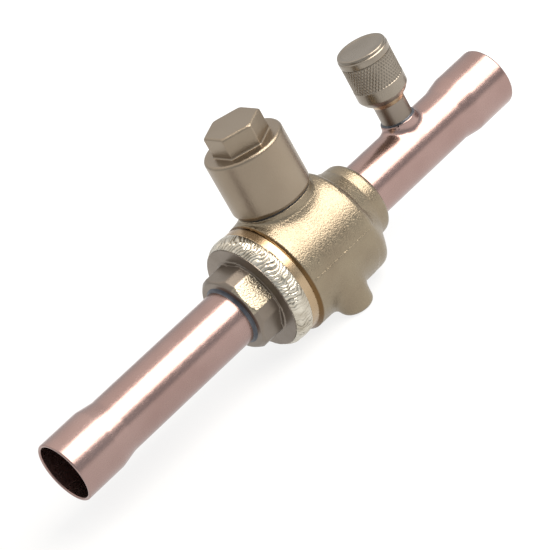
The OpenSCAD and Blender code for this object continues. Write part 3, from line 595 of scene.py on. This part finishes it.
corners, radii = tube_outline(LEFT_STOP, LEFT_END)
outline = [(r, -x) for r, x in soften(corners, radii, 10)]
left_tube = close_up(make_piece("copper_tube_left", *turned(outline, 128), [drawn_copper]))
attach(left_tube, "housing")
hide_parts("tube_left")

corners, radii = tube_outline(TUBE_STOP, RIGHT_END)
right_line = outline_distance([(x, r) for r, x in soften(corners, radii, 10)])
bore_line = outline_distance([(0, 0), (0, BORE_R), (60, BORE_R), (60, 0)])
tee_line = outline_distance(soften([(0, 5), (TEE_OR, 5), (TEE_OR, TEE_TOP), (0, TEE_TOP)], [0, 0, 0.3, 0]))


def tee_distance(x, y, z):
    r, upright = np.hypot(y, z), np.hypot(x - PORT_X, y)
    body = right_line(x, r)
    near = (z > 3) & (np.abs(x - PORT_X) < 9)
    body = np.where(near, join(body, tee_line(upright, z), 2.6), body)
    body = np.maximum(body, np.where(np.abs(x - PORT_X) < 9, -bore_line(x, r), -99.0))
    return np.where(z > 0, cut(body, upright - TEE_R, 0.15), body)


points, faces, normals = skin(tee_distance, (13.9, -9.4, -9.4), (76.6, 9.4, 10.2), (0.6, 0.36, 0.36))
right_tube = make_piece("copper_tube_right", points, faces, [drawn_copper], normals)
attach(right_tube, "housing")
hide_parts("tube_right")


# Braze: silver alloy that ran into the joints. It lies as a hollow fillet round
# each tube and round the port's stem.
PORT_STEM_R = 4.4
# At the collar and the port: blue-grey and dull from the torch; at the shoulder: clean and pale
heated_braze = metal("heat-darkened silver braze", "#5f6268", "#4a4d53", 0.36, 0.08, 0.35, 0.03, tone=2.0)
bright_braze = metal("bright silver braze", "#a39686", "#968878", 0.34, 0.08, 0.35, 0.02, tone=2.0)


def braze_outline(r, leg, height):
    """Hollow fillet in the corner between a tube of radius r and a face at station 0."""
    hollow = [(r + leg - leg * math.sin(a), height - height * math.cos(a))
              for a in (math.pi / 2 * k / 8 for k in range(9))]
    return [(r, 0)] + [(q, h + (0.12 if 0 < k < 8 else 0)) for k, (q, h) in enumerate(hollow)]


for name, node, start, leg, height, flip, finish in (
        ("braze_fillet_left", "braze_left", COLLAR_LEFT, 0.75, 0.8, -1, heated_braze),
        ("braze_fillet_right", "braze_right", SHOULDER_END, 0.8, 0.8, 1, bright_braze)):
    outline = [(r, start + flip * h) for r, h in braze_outline(TUBE_R, leg, height)]
    fillet = close_up(make_piece(name, *turned(outline, 96), [finish]), 60)
    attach(fillet, "housing")
    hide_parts(node)
outline = [(r, TEE_TOP + h) for r, h in braze_outline(PORT_STEM_R, 0.5, 0.3)]
fillet = close_up(make_piece("braze_fillet_port", *turned(outline, 64, "z", PORT_X), [heated_braze]), 60)
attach(fillet, "housing")
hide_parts("braze_port")


# Ball, seats and rings: a plated brass ball between two PTFE seats, each backed by
# a rubber ring in its groove.
# Polished chrome on the ball: near a mirror, cold grey
chrome_plate = metal("chrome plate", "#d2d4d6", "#c6c8ca", 0.07, 0.02, 0.6, 0.001)


def soft_plastic(name, light, deep, rough, grain, relief):
    """A matt moulded or cut plastic or rubber with a fine skin."""
    material, tree = new_material(name)
    place = add(tree, "ShaderNodeTexCoord").outputs["Object"]
    skin_noise = add(tree, "ShaderNodeTexNoise", {"Vector": place, "Scale": 1000 / grain, "Detail": 2.0})
    hue = add(tree, "ShaderNodeMix", {0: skin_noise, 6: linear(deep), 7: linear(light)}, data_type="RGBA")
    bump = add(tree, "ShaderNodeBump", {"Height": skin_noise, "Distance": relief / 1000})
    shader = add(tree, "ShaderNodeBsdfPrincipled", {"Base Color": hue.outputs[2], "Roughness": rough,
                                                    "Normal": bump})
    add(tree, "ShaderNodeOutputMaterial", {"Surface": shader})
    return material


# Skived PTFE: waxy white; moulded rubber: matt black
cut_ptfe = soft_plastic("skived PTFE", "#efece4", "#e2ded4", 0.45, 0.5, 0.004)
moulded_rubber = soft_plastic("moulded rubber", "#232427", "#18191b", 0.6, 0.3, 0.006)


def dress(node, material):
    """Gives a CAD node's mesh one material."""
    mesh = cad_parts[node].data
    mesh.materials.clear()
    mesh.materials.append(material)


dress("ball", chrome_plate)
for node in ("seat_left", "seat_right", "thrust_washer", "packing_ring"):
    dress(node, cut_ptfe)
for node in ("seat_oring_left", "seat_oring_right", "stem_oring_lower", "stem_oring_upper", "seal_cap_gasket",
             "core_seal", "knurled_cap_seal"):
    dress(node, moulded_rubber)


# Stem, gland and stop pin: turned brass stem with a square on top, held down by a
# slotted gland nut; a hardened steel pin stops it against the neck's rim.
# Ground steel: even grey with a faint fine grain
ground_steel = metal("ground steel", "#b9bbbd", "#a5a7a9", 0.24, 0.05, 0.2, 0.003)
for node in ("stem", "gland_nut"):
    dress(node, turned_brass)
dress("stop_pin", ground_steel)


# Neck thread: M18 x 1.5 for the seal cap, cut in the forging's own brass. It is a
# sleeve of its own here, because the housing's mesh is too coarse for it.
NECK_PITCH, NECK_CREST_R, NECK_THREAD_LOW, NECK_THREAD_HIGH = 1.5, 8.95, 17.6, 26.3


def threaded(piece, axis, low, high, root, crest, pitch, material):
    """Winds a right-hand ridge round the outside of a piece, between two stations along Z."""
    sizes = {"Axis": axis, "Low": low + AXIS_HEIGHT, "High": high + AXIS_HEIGHT, "Root": root - 0.02,
             "Height": crest - root, "Pitch": pitch}
    tree, size = node_tree("screw thread", {name: "Float" for name in sizes})
    xyz = add(tree, "ShaderNodeSeparateXYZ", {0: add(tree, "GeometryNodeInputPosition")}).outputs
    out = add(tree, "ShaderNodeMath", {0: xyz[0], 1: size["Axis"]}, operation="SUBTRACT")
    angle = add(tree, "ShaderNodeMath", {0: xyz[1], 1: out}, operation="ARCTAN2")
    turns = add(tree, "ShaderNodeMath", {0: angle, 1: 2 * math.pi}, operation="DIVIDE")
    climb = add(tree, "ShaderNodeMath", {0: xyz[2], 1: size["Pitch"]}, operation="DIVIDE")
    phase = add(tree, "ShaderNodeMath", {0: climb, 1: turns}, operation="SUBTRACT")
    away = add(tree, "ShaderNodeMath", {0: phase, 1: 0.5}, operation="PINGPONG")
    ridge = add(tree, "ShaderNodeMapRange", {"Value": away, "From Min": 0.07, "From Max": 0.43,
                                             "To Min": 1.0, "To Max": 0.0})
    flat = add(tree, "ShaderNodeCombineXYZ", {0: out, 1: xyz[1]})
    reach = add(tree, "ShaderNodeVectorMath", {0: flat}, operation="LENGTH").outputs["Value"]
    for value, limit, test in ((xyz[2], "Low", "GREATER_THAN"), (xyz[2], "High", "LESS_THAN"),
                               (reach, "Root", "GREATER_THAN")):
        inside = add(tree, "ShaderNodeMath", {0: value, 1: size[limit]}, operation=test)
        ridge = add(tree, "ShaderNodeMath", {0: ridge, 1: inside}, operation="MULTIPLY")
    ridge = add(tree, "ShaderNodeMath", {0: ridge, 1: size["Height"]}, operation="MULTIPLY")
    way = add(tree, "ShaderNodeVectorMath", {0: flat}, operation="NORMALIZE")
    push = add(tree, "ShaderNodeVectorMath", {0: way, "Scale": ridge}, operation="SCALE")
    moved = add(tree, "GeometryNodeSetPosition", {"Geometry": size["Mesh"], "Offset": push})
    finish_tree(tree, moved, material)
    return grown(piece, tree, {name: value / 1000 for name, value in sizes.items()})


def rows(r, low, high, spacing):
    """Points of an outline up a straight wall, close enough to carry a pattern."""
    count = round((high - low) / spacing)
    return [(r, low + (high - low) * k / count) for k in range(count + 1)]


sleeve_r = NECK_ROOT_R + 0.04
outline = [(NECK_ROOT_R - 0.4, NECK_THREAD_LOW - 0.3)]
outline += rows(sleeve_r, NECK_THREAD_LOW - 0.3, NECK_THREAD_HIGH + 0.3, 0.125)
outline.append((NECK_ROOT_R - 0.4, NECK_THREAD_HIGH + 0.3))
neck_thread = close_up(make_piece("neck_thread", *turned(outline, 144, "z"), [machined_brass]), 60)
threaded(neck_thread, 0, NECK_THREAD_LOW, NECK_THREAD_HIGH, sleeve_r, NECK_CREST_R, NECK_PITCH,
         machined_brass)
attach(neck_thread, "housing")


# Seal cap: turned from brass bar with a hexagon on top for a wrench, screwed down
# on the neck by hand and nipped up.
CAP_R, CAP_FOOT, CAP_TOP, CAP_BORE_R, CAP_CEILING = 11.02, 17.3, 34.4, 9.02, 32.0
HEX_AF, HEX_TOP, HEX_EDGE, HEX_FOOT_FILLET = 14.0, 40.5, 0.4, 0.8
# Turned brass with a close satin finish, darker than the forging
cap_brass = metal("satin turned brass", "#978a79", "#918372", 0.34, 0.05, 0.35, 0.035, tone=12.0)

cap_line = outline_distance(soften(
    [(0, CAP_FOOT), (CAP_R - 0.5, CAP_FOOT), (CAP_R, CAP_FOOT + 1), (CAP_R, CAP_TOP), (0, CAP_TOP)],
    [0, 0.15, 1.2, 0.8, 0]))
cap_room = outline_distance(
    [(0, CAP_FOOT - 2), (CAP_BORE_R, CAP_FOOT - 2), (CAP_BORE_R, 30), (7.82, CAP_CEILING), (0, CAP_CEILING)])
hex_cone = outline_distance(soften(
    [(0, 33), (12, 33), (12, 36.5), (8.2, HEX_TOP - 0.5), (7.3, HEX_TOP), (0, HEX_TOP)],
    [0, 0, 0, 0.2, 0.2, 0]))


def cap_distance(x, y, z):
    upright = np.hypot(x, y)
    head = hex_cone(upright, z)
    for k in range(6):
        a = math.radians(60 * k)
        face = x * math.cos(a) + y * math.sin(a) - HEX_AF / 2
        head = -join(-head, -face, 0.35)
        head = -join(-head, -(face + z - HEX_TOP + HEX_EDGE) / math.sqrt(2), 0.2)
    return cut(join(cap_line(upright, z), head, HEX_FOOT_FILLET), cap_room(upright, z), 0.15)


points, faces, normals = skin(cap_distance, (-11.4, -11.4, 16.7), (11.4, 11.4, 41.0), [0.3] * 3)
seal_cap = make_piece("hexagon_seal_cap", points, faces, [cap_brass], normals)
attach(seal_cap, "seal_cap_shell")
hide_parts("seal_cap")


# Gauge port: a turned flare fitting brazed into the tube's collar, with a valve core
# screwed into its mouth: brass body, steel pin and spring, rubber seal.
PORT_LOW, PORT_SHOULDER, PORT_TOP = 6.34, 17.0, 29.7
PORT_CREST_R, PORT_ROOT_R, PORT_PITCH = 5.5, 4.87, 1.27
outline = soften(
    [(1.6, PORT_LOW), (PORT_STEM_R, PORT_LOW), (PORT_STEM_R, PORT_SHOULDER - 1.9),
     (PORT_CREST_R, PORT_SHOULDER), (PORT_CREST_R, PORT_SHOULDER + 0.4)], [0, 0.2, 0.6, 0.15, 0.1])
outline += rows(PORT_ROOT_R, PORT_SHOULDER + 0.8, 28.0, 0.125)
outline += [(5.2, 28.2), (3.9, 29.5), (3.6, PORT_TOP), (2.8, PORT_TOP), (2.65, PORT_TOP - 0.15),
            (2.65, 21.9), (1.95, 21.9), (1.95, 19.3), (1.6, 19.3)]
port_fitting = close_up(make_piece("flare_fitting", *turned(outline, 112, "z", PORT_X), [turned_brass]), 40)
threaded(port_fitting, PORT_X, PORT_SHOULDER + 1.0, 27.8, PORT_ROOT_R, PORT_CREST_R, PORT_PITCH,
         turned_brass)
# The shoulder's edge was left bare and golden
port_fitting.data.materials.append(machined_brass)
height = np.array([face.center[2] for face in port_fitting.data.polygons]) * 1000 - AXIS_HEIGHT
bare = (height > PORT_SHOULDER - 0.9) & (height < PORT_SHOULDER + 0.1)
port_fitting.data.polygons.foreach_set("material_index", bare.astype(int))
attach(port_fitting, "housing")
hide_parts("port_fitting")
dress("core_body", machined_brass)
dress("core_pin", ground_steel)

# The core's spring is wound here as a fixed coil; the real one shortens as the pin goes down
SPRING_WIRE_R, SPRING_R, SPRING_TURNS, SPRING_LOW, SPRING_HIGH = 0.15, 1.3, 5, 23.26, 27.84
SPRING_STATIONS, SPRING_SIDES = 120, 8
station = np.arange(SPRING_STATIONS + 1)[:, None] / SPRING_STATIONS
around = 2 * math.pi * SPRING_TURNS * station
wire = 2 * math.pi * (np.arange(SPRING_SIDES)[None, :] + 0.5) / SPRING_SIDES
r = SPRING_R + SPRING_WIRE_R * np.cos(wire)
points = np.stack([PORT_X + r * np.cos(around), r * np.sin(around),
                   SPRING_LOW + (SPRING_HIGH - SPRING_LOW) * station + SPRING_WIRE_R * np.sin(wire)], 2)
ends = [[start + j for j in range(SPRING_SIDES)] for start in (0, SPRING_STATIONS * SPRING_SIDES)]
walls = [[i * SPRING_SIDES + j, (i + 1) * SPRING_SIDES + j,
          (i + 1) * SPRING_SIDES + (j + 1) % SPRING_SIDES, i * SPRING_SIDES + (j + 1) % SPRING_SIDES]
         for i in range(SPRING_STATIONS) for j in range(SPRING_SIDES)]
spring = close_up(make_piece("wound_core_spring", points.reshape(-1, 3), ends + walls, [ground_steel]), 60)
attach(spring, "housing")
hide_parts("core_spring")
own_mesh(spring)


# Knurled cap: turned brass, nickel-plated, with a diamond knurl rolled in for the
# fingers. It screws on the port and closes it with a rubber seal.
KNURL_R, KNURL_FOOT, KNURL_LOW, KNURL_HIGH, KNURL_TOP = 7.1, 16.9, 21.7, 29.1, 32.0
KNURL_BORE_R, KNURL_CEILING = 5.58, 30.35
KNURL_TEETH, KNURL_DEPTH = 50, 0.2
KNURL_SLOPE = 600.0       # teeth that a groove crosses in a metre of height
# Satin nickel over brass: warm grey, soft highlights, darker in the knurl where its grooves cross
nickel_plate = metal("satin nickel plate", "#968d81", "#8a8175", 0.31, 0.05, 0.3, 0.014, tone=6.0,
                     hollow="#3f3424")

lower = soften([(KNURL_BORE_R, KNURL_FOOT), (KNURL_R - 1.1, KNURL_FOOT), (KNURL_R, KNURL_FOOT + 1.6),
                (KNURL_R, KNURL_LOW - 0.1), (KNURL_R - 0.05, KNURL_LOW)], [0.1, 0.15, 1.2, 0.1, 0])
upper = soften([(KNURL_R - 0.35, KNURL_HIGH - 0.1), (KNURL_R - 0.35, KNURL_HIGH + 0.1),
                (KNURL_R, KNURL_HIGH + 0.2), (KNURL_R, 30.85), (KNURL_R - 0.3, 31.1),
                (KNURL_R - 0.3, 31.2), (KNURL_R - 0.1, 31.4), (KNURL_R - 0.35, KNURL_TOP),
                (KNURL_R - 1.2, KNURL_TOP), (KNURL_R - 1.5, KNURL_TOP - 0.12), (0, KNURL_TOP - 0.12)],
               [0, 0.05, 0.1, 0.15, 0.1, 0.1, 0.15, 0.3, 0.2, 0.1, 0])
belt = rows(KNURL_R - 0.05, KNURL_LOW + 0.05, KNURL_HIGH - 0.1, 0.11)
outline = lower + belt + upper + [(0, KNURL_CEILING), (KNURL_BORE_R, KNURL_CEILING)]
knurled_cap = close_up(make_piece("diamond_knurled_cap", *turned(outline, 10 * KNURL_TEETH, "z", PORT_X),
                                  [nickel_plate]), 40)

tree, size = node_tree("diamond knurl", {"Axis": "Float", "Low": "Float", "High": "Float", "Radius": "Float",
                                          "Teeth": "Float", "Slope": "Float", "Depth": "Float"})
xyz = add(tree, "ShaderNodeSeparateXYZ", {0: add(tree, "GeometryNodeInputPosition")}).outputs
out = add(tree, "ShaderNodeMath", {0: xyz[0], 1: size["Axis"]}, operation="SUBTRACT")
angle = add(tree, "ShaderNodeMath", {0: xyz[1], 1: out}, operation="ARCTAN2")
whole = add(tree, "ShaderNodeMath", {0: size["Teeth"], 1: 2 * math.pi}, operation="DIVIDE")
angle = add(tree, "ShaderNodeMath", {0: angle, 1: whole}, operation="MULTIPLY")
rise = add(tree, "ShaderNodeMath", {0: xyz[2], 1: size["Slope"]}, operation="MULTIPLY")
# Distance from the nearest right-hand and the nearest left-hand groove, in teeth
grooves = []
for hand in ("ADD", "SUBTRACT"):
    count = add(tree, "ShaderNodeMath", {0: angle, 1: rise}, operation=hand)
    grooves.append(add(tree, "ShaderNodeMath", {0: count, 1: 0.5}, operation="PINGPONG"))
near = add(tree, "ShaderNodeMath", {0: grooves[0], 1: grooves[1]}, operation="MINIMUM")
depth = add(tree, "ShaderNodeMapRange", {"Value": near, "From Min": 0.0, "From Max": 0.42,
                                         "To Min": 1.0, "To Max": 0.0})
# Darker where two grooves cross
far = add(tree, "ShaderNodeMath", {0: grooves[0], 1: grooves[1]}, operation="MAXIMUM")
crossing_dark = add(tree, "ShaderNodeMapRange", {"Value": far, "From Min": 0.0, "From Max": 0.42,
                                        "To Min": 1.0, "To Max": 0.25})
# Only on the belt, and only on its outside
flat = add(tree, "ShaderNodeCombineXYZ", {0: out, 1: xyz[1]})
reach = add(tree, "ShaderNodeVectorMath", {0: flat}, operation="LENGTH").outputs["Value"]
for value, limit, test in ((xyz[2], "Low", "GREATER_THAN"), (xyz[2], "High", "LESS_THAN"),
                           (reach, "Radius", "GREATER_THAN")):
    inside = add(tree, "ShaderNodeMath", {0: value, 1: size[limit]}, operation=test)
    depth = add(tree, "ShaderNodeMath", {0: depth, 1: inside}, operation="MULTIPLY")
inward = add(tree, "ShaderNodeMath", {0: size["Depth"], 1: -1.0}, operation="MULTIPLY")
scale = add(tree, "ShaderNodeMath", {0: depth, 1: inward}, operation="MULTIPLY")
way = add(tree, "ShaderNodeVectorMath", {0: flat}, operation="NORMALIZE")
push = add(tree, "ShaderNodeVectorMath", {0: way, "Scale": scale}, operation="SCALE")
moved = add(tree, "GeometryNodeSetPosition", {"Geometry": size["Mesh"], "Offset": push})
crossing_dark = add(tree, "ShaderNodeMath", {0: crossing_dark, 1: depth}, operation="MULTIPLY")
kept = add(tree, "GeometryNodeStoreNamedAttribute", {"Geometry": moved, "Name": "hollow", "Value": crossing_dark})
finish_tree(tree, kept, nickel_plate)
grown(knurled_cap, tree, {"Axis": PORT_X / 1000, "Low": (KNURL_LOW + AXIS_HEIGHT) / 1000,
                          "High": (KNURL_HIGH + AXIS_HEIGHT) / 1000, "Radius": (KNURL_R - 0.12) / 1000,
                          "Teeth": float(KNURL_TEETH), "Slope": KNURL_SLOPE, "Depth": KNURL_DEPTH / 1000})
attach(knurled_cap, "knurled_cap_shell")
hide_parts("knurled_cap")
